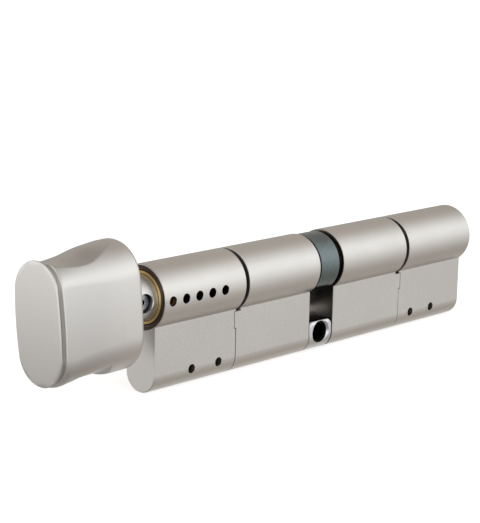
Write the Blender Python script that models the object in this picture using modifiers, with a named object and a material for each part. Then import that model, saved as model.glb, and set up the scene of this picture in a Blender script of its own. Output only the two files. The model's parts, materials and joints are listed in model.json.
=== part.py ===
"""Euro profile cylinder, 65/65 mm, thumb-turn on one side and key plug on the other.

Lengths in this file are millimetres, turned into metres by mm(). Every piece is
built in the cylinder's own axis frame: x along the plug axis with 0 at the middle
of the cam slot, y across the web, z up from the plug axis. An empty on the plug
axis carries them all, so the world origin ends up in the centre of the fixing
screw's hole, AXIS_ABOVE_SCREW below the plug axis.
"""

import math

import bmesh
import bpy
from mathutils import Matrix, Vector

# ---------------------------------------------------------------- dimensions (mm)
HEAD_R = 8.5  # round head of the euro profile, 17 mm across
WEB_HALF = 5.0  # the web is 10 mm thick
FOOT_R = 5.0  # rounded underside
FOOT_Z = -19.5  # centre of that rounding: the profile is 33 mm high
AXIS_ABOVE_SCREW = 19.0  # plug axis above the fixing screw's hole
HALF_LENGTH = 65.0  # 65/65: cam centre to each end face
SLOT_HALF = 5.0  # the cam slot is 10 mm wide
SLOT_FLOOR = -15.5  # top of the bridge, which the cam lever sweeps past

JOINT_X = 35.0  # where the end modules meet the inner modules
CLIP_GAP_X = 33.6  # start of the gap in the round head for the retaining clip
STEP_X = 35.6  # the joint line's step on the web
STEP_Z = -12.0
GAP_FOOT_Z = -7.4  # bottom of the gap in the head

BORE_R = 7.15  # plug bore in the housings
PLUG_R = 6.85
FIT = 0.3  # gap between faces that meet
CHANNEL_HALF = 2.3  # channel in the web for the bridge's arms
CHANNEL_TOP, CHANNEL_FLOOR = -17.4, -22.4
ARM_HALF, ARM_TOP, ARM_FLOOR, ARM_END = 2.0, -17.7, -22.1, 57.0

SCREW_HOLE_R = 2.6  # clearance for the M5 fixing screw
CROSS_PIN_R, CROSS_HOLE_R, CROSS_PIN_HALF = 1.0, 1.2, 3.6
CROSS_PIN_Z = -19.9
CROSS_PINS = {
    "cross_pin_knob_outer": -51.4,
    "cross_pin_knob_inner": -41.4,
    "cross_pin_key_inner": 41.2,
    "cross_pin_key_outer": 51.2,
}

PIN_PITCH = 4.77
PIN_FIRST = 43.04  # the drilling nearest the cam; the same five on both end modules
PIN_COUNT = 5
SIDE_HOLE_R = 1.3
CHAMBER_R, PIN_R = 1.5, 1.3
CHAMBER_FLOOR = -16.5
KEY_PIN_TIPS = (-1.3, -0.7, -1.5, -0.9, -1.2)  # how far the tips stand below the axis
SHEAR_KEY_PIN, SHEAR_DRIVER = -6.68, -7.12
DRIVER_LENGTH = 4.4

CAM_X0, CAM_X1 = -4.6, 3.5
CAM_R, CAM_BORE_R = 8.2, 5.0
CAM_LEVER_R = 15.0
CAM_REST_ANGLE = 30.0  # lever's rest position, degrees from straight down towards +y

KNOB_REAR = -73.4
FLANK_R = 110.0  # the thumb-turn's flanks are slightly crowned
SCOOP_R = 12.5  # and so is the finger scoop across its underside
KNOB_LEAN = 5.3  # degrees the top of the thumb-turn leans towards +y at rest
HUB_R = 5.95
SPINDLE_R = 3.1
SPIGOT_R = 4.7  # the rotors' ends, which carry the cam

SIDES = 40  # round pieces


def mm(value):
    return value / 1000.0


# ---------------------------------------------------------------- scene and tools
for old in list(bpy.data.objects):
    bpy.data.objects.remove(old, do_unlink=True)

PARTS = bpy.data.collections.new("euro_cylinder")
CUTTERS = bpy.data.collections.new("euro_cylinder_cutters")
bpy.context.scene.collection.children.link(PARTS)
bpy.context.scene.collection.children.link(CUTTERS)

# Turns local x, y, z into world y, z, x: what is drawn flat and extruded, or turned
# about its local z, then runs along the plug axis.
ALONG_X = Matrix(((0, 0, 1, 0), (1, 0, 0, 0), (0, 1, 0, 0), (0, 0, 0, 1)))


def empty(name, location=(0, 0, 0), parent=None):
    made = bpy.data.objects.new(name, None)
    made.location = [mm(v) for v in location]
    made.empty_display_size = 0.01
    made.parent = parent
    PARTS.objects.link(made)
    return made


def material(name, colour, roughness, metallic):
    made = bpy.data.materials.new(name)
    made.use_nodes = True
    shader = made.node_tree.nodes["Principled BSDF"]
    shader.inputs["Base Color"].default_value = (*colour, 1)
    shader.inputs["Roughness"].default_value = roughness
    shader.inputs["Metallic"].default_value = metallic
    made.diffuse_color = (*colour, 1)
    return made


NICKEL = material("satin_nickel", (0.72, 0.69, 0.65), 0.38, 1.0)
CHROME = material("bright_chrome", (0.80, 0.80, 0.82), 0.08, 1.0)
STEEL = material("steel", (0.55, 0.55, 0.56), 0.30, 1.0)
DARK_STEEL = material("sintered_steel", (0.16, 0.18, 0.20), 0.45, 1.0)
BRASS = material("brass", (0.80, 0.58, 0.28), 0.30, 1.0)
SPRING_STEEL = material("spring_steel", (0.40, 0.40, 0.42), 0.30, 1.0)

AXIS = empty("plug_axis", (0, 0, AXIS_ABOVE_SCREW))
KNOB_AXIS = empty("knob_turn_axis", parent=AXIS)
CAM_AXIS = empty("cam_turn_axis", parent=AXIS)
KEY_AXIS = empty("key_plug_turn_axis", parent=AXIS)


def add(name, mesh, parent, mat=None, cutter=False):
    made = bpy.data.objects.new(name, mesh)
    made.parent = parent
    if cutter:
        CUTTERS.objects.link(made)
        made.hide_render = True
        made.display_type = "WIRE"
    else:
        PARTS.objects.link(made)
        made.data.materials.append(mat)
        mesh.shade_smooth()
        mesh.set_sharp_from_angle(angle=math.radians(35))
    return made


def mesh_from(bm, name, matrix=None):
    if matrix is not None:
        bm.transform(matrix)
    bm.normal_update()
    bmesh.ops.recalc_face_normals(bm, faces=bm.faces)
    mesh = bpy.data.meshes.new(name)
    bm.to_mesh(mesh)
    bm.free()
    return mesh


def box_mesh(name, low, high):
    bm = bmesh.new()
    bmesh.ops.create_cube(bm, size=1)
    size = [mm(b - a) for a, b in zip(low, high)]
    middle = [mm((a + b) / 2) for a, b in zip(low, high)]
    return mesh_from(
        bm, name, Matrix.Translation(middle) @ Matrix.Diagonal((*size, 1))
    )


def rod_mesh(name, start, end, radius, sides=SIDES, radius_end=None):
    """A cylinder, or a cone, from one point to another."""
    a, b = Vector([mm(v) for v in start]), Vector([mm(v) for v in end])
    bm = bmesh.new()
    bmesh.ops.create_cone(
        bm,
        cap_ends=True,
        segments=sides,
        radius1=mm(radius),
        radius2=mm(radius if radius_end is None else radius_end),
        depth=(b - a).length,
    )
    turn = (b - a).to_track_quat("Z", "Y").to_matrix().to_4x4()
    return mesh_from(bm, name, Matrix.Translation((a + b) / 2) @ turn)


def cut(piece, mesh, parent=AXIS, operation="DIFFERENCE"):
    cutter = add(mesh.name, mesh, parent, cutter=True)
    step = piece.modifiers.new(mesh.name, "BOOLEAN")
    step.operation = operation
    step.solver = "EXACT"
    step.object = cutter
    return step


def cut_box(piece, name, low, high, parent=AXIS, operation="DIFFERENCE"):
    return cut(piece, box_mesh(name, low, high), parent, operation)


def cut_rod(piece, name, start, end, radius, sides=SIDES, parent=AXIS, **more):
    return cut(piece, rod_mesh(name, start, end, radius, sides, **more), parent)


def prism(name, outline, x0, x1):
    """A flat outline of (y, z) points as a filled 2D curve, extruded from x0 to x1."""
    curve = bpy.data.curves.new(name, "CURVE")
    curve.dimensions = "2D"
    curve.fill_mode = "BOTH"
    curve.extrude = mm(x1 - x0) / 2
    spline = curve.splines.new("POLY")
    spline.points.add(len(outline) - 1)
    for point, (y, z) in zip(spline.points, outline):
        point.co = (mm(y), mm(z), 0, 1)
    spline.use_cyclic_u = True
    drawn = bpy.data.objects.new(name + "_outline", curve)
    CUTTERS.objects.link(drawn)
    bpy.context.view_layer.update()
    mesh = bpy.data.meshes.new_from_object(
        drawn.evaluated_get(bpy.context.evaluated_depsgraph_get())
    )
    bpy.data.objects.remove(drawn, do_unlink=True)
    bm = bmesh.new()
    bm.from_mesh(mesh)
    bpy.data.meshes.remove(mesh)
    bmesh.ops.remove_doubles(bm, verts=bm.verts, dist=1e-6)
    return mesh_from(
        bm, name, Matrix.Translation((mm((x0 + x1) / 2), 0, 0)) @ ALONG_X
    )


def turned(name, outer, inner, parent, mat, sides=SIDES):
    """A turned piece. outer runs from the +x end to the -x end as (x, r), and inner,
    the bore if there is one, runs back from the -x end to the +x end."""
    points = list(outer) + list(inner)
    mesh = bpy.data.meshes.new(name)
    edges = [(i, i + 1) for i in range(len(points) - 1)]
    if inner:
        edges.append((len(points) - 1, 0))
    mesh.from_pydata([(mm(r), 0, mm(x)) for x, r in points], edges, [])
    made = bpy.data.objects.new(name, mesh)
    made.parent = parent
    made.rotation_euler = ALONG_X.to_euler()
    PARTS.objects.link(made)
    mesh.materials.append(mat)
    screw = made.modifiers.new("turn", "SCREW")
    screw.axis = "Z"
    screw.steps = screw.render_steps = sides
    screw.use_merge_vertices = True
    screw.merge_threshold = 0.000005
    screw.use_smooth_shade = True
    return made


def arc(cy, cz, radius, start, end, steps):
    """Points on an arc in the y, z plane, angles in degrees from +y."""
    return [
        (
            cy + radius * math.cos(math.radians(start + (end - start) * i / steps)),
            cz + radius * math.sin(math.radians(start + (end - start) * i / steps)),
        )
        for i in range(steps + 1)
    ]


# ---------------------------------------------------------------- housings
def euro_outline(head_steps=36, foot_steps=14):
    """Anticlockwise outline: round head, straight web, round foot."""
    meet = math.degrees(math.asin(WEB_HALF / HEAD_R))  # where head and web meet
    head = arc(0, 0, HEAD_R, meet - 90, 270 - meet, head_steps)
    foot = arc(0, FOOT_Z, FOOT_R, 180, 360, foot_steps)
    return head + foot


def housing(name, x0, x1):
    piece = add(name, prism(name, euro_outline(), x0, x1), AXIS, NICKEL)
    cut_rod(piece, name + "_bore", (x0 - 2, 0, 0), (x1 + 2, 0, 0), BORE_R)
    return piece


def channel(piece, x0, x1):
    cut_box(
        piece,
        piece.name + "_channel",
        (x0, -CHANNEL_HALF, CHANNEL_FLOOR),
        (x1, CHANNEL_HALF, CHANNEL_TOP),
    )


GAP = 0.1  # half the fine gap at the joint line


def inner_housing(name, side):
    """From the cam slot to the joint: the head stops short for the clip's gap."""
    ends = sorted((side * SLOT_HALF, side * (STEP_X - GAP)))
    piece = housing(name, *ends)
    far = side * 40
    for part, start, low, high in (
        ("_clip_gap", CLIP_GAP_X, GAP_FOOT_Z - GAP, 10),
        ("_step", JOINT_X - GAP, -26, STEP_Z + GAP),
    ):
        a, b = sorted((side * start, far))
        cut_box(piece, name + part, (a, -10, low), (b, 10, high))
    a, b = sorted((side * 0, far))
    channel(piece, a, b)
    return piece


def end_housing(name, side):
    """From the joint to the end face, with its half of the stepped joint line."""
    ends = sorted((side * JOINT_X, side * HALF_LENGTH))
    piece = housing(name, *ends)
    near = side * 30
    for part, start, low, high in (
        ("_step_upper", STEP_X + GAP, STEP_Z - GAP, GAP_FOOT_Z + GAP),
        ("_step_lower", JOINT_X + GAP, -26, STEP_Z - GAP + 0.02),
    ):
        a, b = sorted((side * start, near))
        cut_box(piece, name + part, (a, -10, low), (b, 10, high))
    a, b = sorted((near, side * (ARM_END + FIT)))
    channel(piece, a, b)
    for pin, x in CROSS_PINS.items():
        if x * side > 0:
            cut_rod(
                piece,
                pin + "_hole",
                (x, -7, CROSS_PIN_Z),
                (x, 7, CROSS_PIN_Z),
                CROSS_HOLE_R,
                sides=14,
            )
    return piece


knob_inner_housing = inner_housing("knob_inner_housing", -1)
key_inner_housing = inner_housing("key_inner_housing", 1)
knob_end_housing = end_housing("knob_end_housing", -1)
key_end_housing = end_housing("key_end_housing", 1)

pin_rows = [PIN_FIRST + i * PIN_PITCH for i in range(PIN_COUNT)]
for i, x in enumerate(pin_rows):
    # Radial drillings in the thumb-turn side's head, left open on that side.
    cut_rod(
        knob_end_housing, f"side_hole_{i + 1}", (-x, -10, 0), (-x, -5, 0), SIDE_HOLE_R, 14
    )
    # Chambers for the driver pins and their springs, drilled down from the plug bore.
    cut_rod(
        key_end_housing, f"chamber_{i + 1}", (x, 0, CHAMBER_FLOOR), (x, 0, -5), CHAMBER_R, 14
    )

# ---------------------------------------------------------------- bridge and its pins
block_outline = (
    [(-WEB_HALF, FOOT_Z)]
    + arc(0, FOOT_Z, FOOT_R, 180, 360, 14)[1:]
    + arc(WEB_HALF - 1.2, SLOT_FLOOR - 1.2, 1.2, 0, 90, 4)
    + arc(-WEB_HALF + 1.2, SLOT_FLOOR - 1.2, 1.2, 90, 180, 4)
)
bridge = add(
    "bridge", prism("bridge", block_outline, -SLOT_HALF + 0.2, SLOT_HALF - 0.3), AXIS, CHROME
)
cut_box(
    bridge,
    "bridge_arms",
    (-ARM_END, -ARM_HALF, ARM_FLOOR),
    (ARM_END, ARM_HALF, ARM_TOP),
    operation="UNION",
)
cut_rod(
    bridge,
    "fixing_screw_hole",
    (0, -8, -AXIS_ABOVE_SCREW),
    (0, 8, -AXIS_ABOVE_SCREW),
    SCREW_HOLE_R,
    24,
)
for name, x in CROSS_PINS.items():
    cut_rod(
        bridge,
        name + "_arm_hole",
        (x, -4, CROSS_PIN_Z),
        (x, 4, CROSS_PIN_Z),
        CROSS_HOLE_R,
        14,
    )
    add(
        name,
        rod_mesh(
            name,
            (x, -CROSS_PIN_HALF, CROSS_PIN_Z),
            (x, CROSS_PIN_HALF, CROSS_PIN_Z),
            CROSS_PIN_R,
            14,
        ),
        AXIS,
        STEEL,
    )


# ---------------------------------------------------------------- cam
def lever_outline():
    """The cam's lever seen along the axis, pointing down: straight flanks, round tip."""
    root, tip = 4.0, 3.1
    side = math.degrees(math.asin(tip / CAM_LEVER_R))
    return (
        [(-root, -6.0)]
        + arc(0, 0, CAM_LEVER_R, -90 - side, -90 + side, 8)
        + [(root, -6.0)]
    )


cam = turned(
    "cam",
    [(CAM_X1, CAM_BORE_R), (CAM_X1, CAM_R), (CAM_X0, CAM_R), (CAM_X0, 6.8)],
    [(-0.5, 6.8), (-0.5, CAM_BORE_R)],
    CAM_AXIS,
    DARK_STEEL,
    48,
)
lever = prism("cam_lever", lever_outline(), CAM_X0 + 0.3, CAM_X1 - 0.3)
lever.transform(Matrix.Rotation(math.radians(CAM_REST_ANGLE), 4, "X"))
cut(cam, lever, CAM_AXIS, "UNION")
cut_rod(cam, "cam_recess", (CAM_X0 - 1, 0, 0), (-0.55, 0, 0), 6.75, 48, CAM_AXIS)
cut_rod(cam, "cam_bore", (-6, 0, 0), (6, 0, 0), CAM_BORE_R, 40, CAM_AXIS)
cut_box(cam, "cam_notches", (-2, -1.8, -6.6), (5, 1.8, 6.6), CAM_AXIS)

# ---------------------------------------------------------------- thumb-turn side
def knob_stations():
    """(x, half width, half height above and below, scoop above and below, crown of the
    upper scoop, centre z) along the knob: a front plate, a groove behind it, then a body
    that swells towards the rear, with a finger scoop across its top and another across
    its underside."""
    stations = [
        (-99.2, 7.1, 14.35, 14.8, 20, 20, 17),
        (-98.95, 7.62, 14.83, 15.28, 20, 20, 17),
        (-98.72, 7.8, 15.0, 15.45, 20, 20, 17),
        (-98.55, 7.75, 14.95, 15.4, 20, 20, 17),
        (-97.65, 7.0, 14.2, 14.95, 20, 20, 17),
        (-97.3, 6.95, 14.1, 14.9, 20, 20, 17),
        (-97.15, 7.7, 14.6, 15.4, 14.1, 20, 17),
        (-96.9, 7.9, 15.1, 15.75, 14.1, 20, 17),
        (-96.4, 8.0, 15.3, 15.9, 14.1, 15.9, 17),
        (-95.4, 8.17, 15.5, 16.05, 14.1, 15.6, 16.8),
        (-93.5, 8.5, 15.85, 16.05, 14.2, 15.3, 15.2),
        (-91.0, 8.91, 16.2, 16.05, 14.47, 14.95, 13.6),
        (-88.0, 9.33, 16.45, 16.05, 14.85, 14.86, 13.2),
        (-85.5, 9.6, 16.55, 16.05, 15.4, 14.85, 12.6),
        (-83.6, 9.74, 16.58, 16.05, 15.8, 14.62, 12.2),
        (-82.6, 9.8, 16.6, 16.05, 15.95, 14.9, 12.2),
        (-81.6, 9.85, 16.6, 16.05, 16.07, 15.75, 12.2),
        (-80.0, 9.92, 16.6, 16.05, 16.22, 15.9, 12.2),
        (-77.0, 9.95, 16.6, 16.05, 16.5, 16.05, 12.2),
        (-74.6, 9.9, 16.6, 16.05, 20, 20, 12.2),
        (-73.9, 9.7, 16.4, 15.85, 20, 20, 12.2),
        (-73.55, 9.35, 16.05, 15.5, 20, 20, 12.2),
        (-73.4, 8.9, 15.6, 15.05, 20, 20, 12.2),
    ]
    for station in stations:
        yield (*station, -0.4 - 0.025 * (KNOB_REAR - station[0]))


def knob_ring(w, up, down, scoop_up, scoop_down, scoop_r, ends=10, flank=3):
    """An oval of four tangent arcs: slightly crowned flanks of radius FLANK_R and round
    ends. The scoops, crowned across the knob, cut its ends down."""
    top, bottom = up - w, w - down
    for _ in range(12):
        middle = (top + bottom) / 2
        top = up - FLANK_R + math.hypot(FLANK_R - w, top - middle)
        bottom = -down + FLANK_R - math.hypot(FLANK_R - w, bottom - middle)
    upper = math.degrees(math.atan2(top - middle, FLANK_R - w))
    lower = math.degrees(math.atan2(middle - bottom, FLANK_R - w))
    points = (
        arc(w - FLANK_R, middle, FLANK_R, -lower, upper, flank)[:-1]
        + arc(0, top, up - top, upper, 180 - upper, ends)[:-1]
        + arc(FLANK_R - w, middle, FLANK_R, 180 - upper, 180 + lower, flank)[:-1]
        + arc(0, bottom, down + bottom, 180 + lower, 360 - lower, ends)[:-1]
    )
    return [
        (
            y,
            max(
                min(z, scoop_up - y * y / (2 * scoop_r)),
                y * y / (2 * SCOOP_R) - scoop_down,
            ),
        )
        for y, z in points
    ]


lean = Matrix.Rotation(math.radians(-KNOB_LEAN), 4, "X")
bm = bmesh.new()
rings = []
for x, *shape, centre in knob_stations():
    ring = []
    for y, z in knob_ring(*shape):
        place = lean @ Vector((0, mm(y), mm(z)))
        ring.append(bm.verts.new((mm(x), place.y, place.z + mm(centre))))
    rings.append(ring)
for a, b in zip(rings, rings[1:]):
    for i in range(len(a)):
        j = (i + 1) % len(a)
        bm.faces.new((a[i], a[j], b[j], b[i]))
bm.faces.new(rings[0])
bm.faces.new(list(reversed(rings[-1])))
knob = add("knob", mesh_from(bm, "knob"), KNOB_AXIS, NICKEL)
cut_rod(knob, "knob_socket", (-90, 0, 0), (-70, 0, 0), HUB_R + FIT, 32, KNOB_AXIS)

knob_hub = turned(
    "knob_hub",
    [(-61.2, HUB_R), (-89.5, HUB_R)],
    [(-89.5, 3.4), (-61.2, 3.4)],
    KNOB_AXIS,
    STEEL,
    32,
)
cut_rod(knob_hub, "grub_hole", (-69, -9, 0), (-69, -2, 0), 2.5, 20, KNOB_AXIS)

grub = add(
    "hub_grub_screw",
    rod_mesh("hub_grub_screw", (-69, -5.5, 0), (-69, -3.5, 0), 2.2, 20),
    KNOB_AXIS,
    STEEL,
)
cut_rod(grub, "grub_socket", (-69, -6.5, 0), (-69, -4.3, 0), 1.3, 6, KNOB_AXIS)

knob_spindle = turned(
    "knob_spindle",
    [(-27.6, 0), (-27.6, SPINDLE_R), (-89.0, SPINDLE_R), (-89.0, 0)],
    [],
    KNOB_AXIS,
    STEEL,
    20,
)
cut_box(knob_spindle, "spindle_flat_upper", (-33, -4, 1.5), (-20, 4, 5), KNOB_AXIS)
cut_box(knob_spindle, "spindle_flat_lower", (-33, -4, -5), (-20, 4, -1.5), KNOB_AXIS)

knob_plug = turned(
    "knob_plug",
    [
        (-30.2, PLUG_R),
        (-33.7, PLUG_R),
        (-33.7, 5.7),
        (-34.9, 5.7),
        (-34.9, PLUG_R),
        (-40.6, PLUG_R),
        (-40.6, 5.0),
        (-57.2, 5.0),
        (-57.2, PLUG_R),
        (-64.8, PLUG_R),
        (-64.8, 6.25),
    ],
    [(-60.9, 6.25), (-60.9, 3.4), (-30.2, 3.4)],
    KNOB_AXIS,
    BRASS,
)


def clip(name, x, parent):
    """An open spring clip in the plug's groove, in the gap between the modules."""
    made = turned(
        name,
        [(x + 0.4, 7.2), (x - 0.4, 7.2)],
        [(x - 0.4, 5.95), (x + 0.4, 5.95)],
        parent,
        SPRING_STEEL,
        32,
    )
    cut_box(made, name + "_opening", (x - 2, -2.6, -9), (x + 2, 2.6, 0), parent)
    return made


clip("knob_plug_clip", -34.3, KNOB_AXIS)

knob_extension = turned(
    "knob_extension",
    [
        (0.9, 0.0),
        (0.9, SPIGOT_R),
        (-5.6, SPIGOT_R),
        (-5.6, PLUG_R),
        (-29.9, PLUG_R),
        (-29.9, 0.0),
    ],
    [],
    KNOB_AXIS,
    BRASS,
)
cut_box(knob_extension, "spindle_slot", (-31, -3.6, -1.8), (-27.2, 3.6, 1.8), KNOB_AXIS)
cut_rod(knob_extension, "spring_bore", (-14, 0, 0), (2, 0, 0), 2.4, 20, KNOB_AXIS)
cut_box(knob_extension, "coupler_slot", (-2.6, -1.7, -8), (2, 1.7, 8), KNOB_AXIS)


def coupler(name, x0, x1, stem0, stem1, lug_r, parent):
    """A cross bar whose ends reach into the cam's notches, on a round stem."""
    made = add(
        name, box_mesh(name, (x0, -1.4, -lug_r), (x1, 1.4, lug_r)), parent, STEEL
    )
    cut(made, rod_mesh(name + "_stem", (stem0, 0, 0), (stem1, 0, 0), 1.35, 16), parent, "UNION")
    return made


# ---------------------------------------------------------------- clutch
# The knob's cross bar stands in the cam's notches, so the thumb-turn drives the cam.
# The key's bar waits beside the cam: pushed in, it takes the other bar's place.
knob_coupler = coupler("knob_coupler", -0.2, 1.2, -5.6, 1.0, 6.3, KNOB_AXIS)
key_coupler = coupler("key_coupler", 3.75, 4.75, 1.5, 13.5, 6.3, KEY_AXIS)


def coil(name, start, end, radius, wire, turns, parent, per_turn=9):
    """A compression spring's wire as a bevelled curve along start to end."""
    a, b = Vector(start), Vector(end)
    turn = (b - a).to_track_quat("Z", "Y")
    length = (b - a).length
    curve = bpy.data.curves.new(name, "CURVE")
    curve.dimensions = "3D"
    curve.bevel_depth = mm(wire)
    curve.bevel_resolution = 0
    curve.use_fill_caps = True
    count = int(turns * per_turn)
    spline = curve.splines.new("POLY")
    spline.points.add(count)
    for i, point in enumerate(spline.points):
        angle = 2 * math.pi * i / per_turn
        here = turn @ Vector(
            (
                radius * math.cos(angle),
                radius * math.sin(angle),
                wire + (length - 2 * wire) * i / count,
            )
        )
        point.co = (*[mm(v) for v in a + here], 1)
    made = bpy.data.objects.new(name, curve)
    made.parent = parent
    curve.materials.append(SPRING_STEEL)
    PARTS.objects.link(made)
    return made


coil("clutch_spring", (-13.7, 0, 0), (-5.9, 0, 0), 1.6, 0.3, 5, KNOB_AXIS)

# ---------------------------------------------------------------- key side
key_plug = turned(
    "key_plug",
    [
        (64.7, 0.0),
        (64.7, PLUG_R),
        (34.9, PLUG_R),
        (34.9, 5.7),
        (33.7, 5.7),
        (33.7, PLUG_R),
        (30.2, PLUG_R),
        (30.2, 0.0),
    ],
    [],
    KEY_AXIS,
    BRASS,
)
cut_box(key_plug, "keyway", (36.5, -4.4, -1.35), (66, 4.4, 1.35), KEY_AXIS)
cut_box(key_plug, "extension_slot", (29, -9, -1.8), (32.6, 9, 1.8), KEY_AXIS)
clip("key_plug_clip", 34.3, KEY_AXIS)

key_extension = turned(
    "key_extension",
    [
        (29.9, 0.0),
        (29.9, PLUG_R),
        (5.6, PLUG_R),
        (5.6, SPIGOT_R),
        (1.5, SPIGOT_R),
        (1.5, 0.0),
    ],
    [],
    KEY_AXIS,
    BRASS,
)
cut_box(
    key_extension, "extension_tongue", (28, -6.0, -1.5), (32.2, 6.0, 1.5), KEY_AXIS, "UNION"
)
cut_rod(key_extension, "coupler_bore", (1, 0, 0), (16, 0, 0), 1.6, 20, KEY_AXIS)
cut_box(key_extension, "key_coupler_slot", (0, -1.7, -8), (5.2, 1.7, 8), KEY_AXIS)

for i, (x, tip) in enumerate(zip(pin_rows, KEY_PIN_TIPS)):
    n = i + 1
    cut_rod(key_plug, f"plug_pin_hole_{n}", (x, 0, -9), (x, 0, 0), CHAMBER_R, 14, KEY_AXIS)
    # The key pin: a point that sits in the key's cut, a straight shank, a flat foot.
    shank = SHEAR_KEY_PIN
    add(
        f"key_pin_{n}",
        rod_mesh(f"key_pin_{n}", (x, 0, shank), (x, 0, tip - 0.9), PIN_R, 12),
        KEY_AXIS,
        BRASS,
    )
    cut(
        bpy.data.objects[f"key_pin_{n}"],
        rod_mesh(f"key_pin_{n}_point", (x, 0, tip - 1.2), (x, 0, tip), 1.28, 12, 0.45),
        KEY_AXIS,
        "UNION",
    )
    foot = SHEAR_DRIVER - DRIVER_LENGTH
    add(
        f"driver_pin_{n}",
        rod_mesh(f"driver_pin_{n}", (x, 0, foot), (x, 0, SHEAR_DRIVER), PIN_R, 12),
        AXIS,
        STEEL,
    )
    coil(
        f"pin_spring_{n}",
        (x, 0, CHAMBER_FLOOR + 0.3),
        (x, 0, foot - 0.3),
        0.95,
        0.22,
        4,
        AXIS,
    )

for name, y in (("anti_drill_pin_near", -3.0), ("anti_drill_pin_far", 3.0)):
    cut_rod(key_plug, name + "_hole", (57, y, 4.0), (66, y, 4.0), 1.0, 12, KEY_AXIS)
    add(
        name, rod_mesh(name, (57.3, y, 4.0), (64.4, y, 4.0), 0.8, 12), KEY_AXIS, STEEL
    )
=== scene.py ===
"""The looks of the euro cylinder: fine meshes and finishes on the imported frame."""

import json
import math

import bmesh
import bpy
import numpy as np
from mathutils import Matrix, Vector


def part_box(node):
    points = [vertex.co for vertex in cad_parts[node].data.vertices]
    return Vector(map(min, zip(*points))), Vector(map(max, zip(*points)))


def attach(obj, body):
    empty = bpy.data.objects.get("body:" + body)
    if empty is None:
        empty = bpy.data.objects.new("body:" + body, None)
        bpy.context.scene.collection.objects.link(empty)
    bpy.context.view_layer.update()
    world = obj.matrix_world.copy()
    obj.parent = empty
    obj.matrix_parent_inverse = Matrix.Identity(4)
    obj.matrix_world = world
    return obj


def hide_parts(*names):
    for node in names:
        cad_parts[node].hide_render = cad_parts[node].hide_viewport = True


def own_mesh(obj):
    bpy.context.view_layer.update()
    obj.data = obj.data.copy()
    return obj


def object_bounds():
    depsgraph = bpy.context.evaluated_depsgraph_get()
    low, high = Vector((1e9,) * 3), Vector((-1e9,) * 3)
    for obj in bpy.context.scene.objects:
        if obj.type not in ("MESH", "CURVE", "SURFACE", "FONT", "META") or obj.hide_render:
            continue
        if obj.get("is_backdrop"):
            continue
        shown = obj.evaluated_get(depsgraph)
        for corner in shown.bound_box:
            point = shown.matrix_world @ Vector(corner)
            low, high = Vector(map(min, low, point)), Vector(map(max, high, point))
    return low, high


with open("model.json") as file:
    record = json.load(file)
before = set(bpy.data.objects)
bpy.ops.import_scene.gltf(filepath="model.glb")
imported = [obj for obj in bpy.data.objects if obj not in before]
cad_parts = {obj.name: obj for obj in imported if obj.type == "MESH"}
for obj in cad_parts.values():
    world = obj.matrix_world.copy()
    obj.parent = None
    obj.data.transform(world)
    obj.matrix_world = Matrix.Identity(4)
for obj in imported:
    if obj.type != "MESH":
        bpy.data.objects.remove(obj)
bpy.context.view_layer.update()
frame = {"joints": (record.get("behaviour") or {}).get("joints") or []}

# ------------------------------------------------------------------ frame and tools
# Meshes are built in millimetres in the plug axis frame, x along the plug axis and
# z up from it, and then set into the row frame by TO_ROW.
AXIS_Z = next(j for j in frame["joints"] if j["name"] == "knob_turn")["pos_m"][2]
TO_ROW = Matrix.Translation((0, 0, AXIS_Z)) @ Matrix.Scale(0.001, 4)
ALONG_Y = Matrix.Rotation(math.radians(90), 4, "Z")
ALONG_Z = Matrix.Rotation(math.radians(-90), 4, "Y")


def span(node, axis=0):
    """A CAD node's extent along an axis, in mm of the plug axis frame."""
    lo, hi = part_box(node)
    shift = AXIS_Z if axis == 2 else 0.0
    return (lo[axis] - shift) * 1000, (hi[axis] - shift) * 1000


PIECES = bpy.data.collections.new("pieces")
BENCH = bpy.data.collections.new("bench")
bpy.context.scene.collection.children.link(PIECES)
bpy.context.scene.collection.children.link(BENCH)

HEAD_R = span("key_end_housing", 2)[1]
WEB_HALF = span("bridge", 1)[1]
FOOT_BOTTOM = span("key_end_housing", 2)[0]
FOOT_R = WEB_HALF
FOOT_Z = FOOT_BOTTOM + FOOT_R
END_X = span("key_end_housing", 0)[1]
SLOT_X = span("key_inner_housing", 0)[0]
BORE_R = 7.15
PLUG_R = span("knob_plug", 2)[1]
JOINT_X, CLIP_X, STEP_X, STEP_Z, GAP_Z = 35.0, 33.6, 35.6, -12.0, -7.4
CROSS_Z = (span("cross_pin_key_inner", 2)[0] + span("cross_pin_key_inner", 2)[1]) / 2


def middle(node, axis=0):
    return sum(span(node, axis)) / 2


PIN_ROWS = [middle(f"driver_pin_{i}") for i in range(1, 6)]


def bench(mesh, name):
    made = bpy.data.objects.new(name, mesh)
    BENCH.objects.link(made)
    return made


def close(bm, name, matrix=None):
    if matrix is not None:
        bm.transform(matrix)
    bmesh.ops.remove_doubles(bm, verts=bm.verts, dist=1e-5)
    bm.normal_update()
    bmesh.ops.recalc_face_normals(bm, faces=bm.faces)
    mesh = bpy.data.meshes.new(name)
    bm.to_mesh(mesh)
    bm.free()
    return mesh


def bridge_rings(bm, rings, loop=False):
    pairs = list(zip(rings, rings[1:])) + ([(rings[-1], rings[0])] if loop else [])
    for a, b in pairs:
        n = max(len(a), len(b))
        for i in range(n):
            j = (i + 1) % n
            if len(a) == 1:
                bm.faces.new((a[0], b[j], b[i]))
            elif len(b) == 1:
                bm.faces.new((a[i], a[j], b[0]))
            else:
                bm.faces.new((a[i], a[j], b[j], b[i]))


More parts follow.
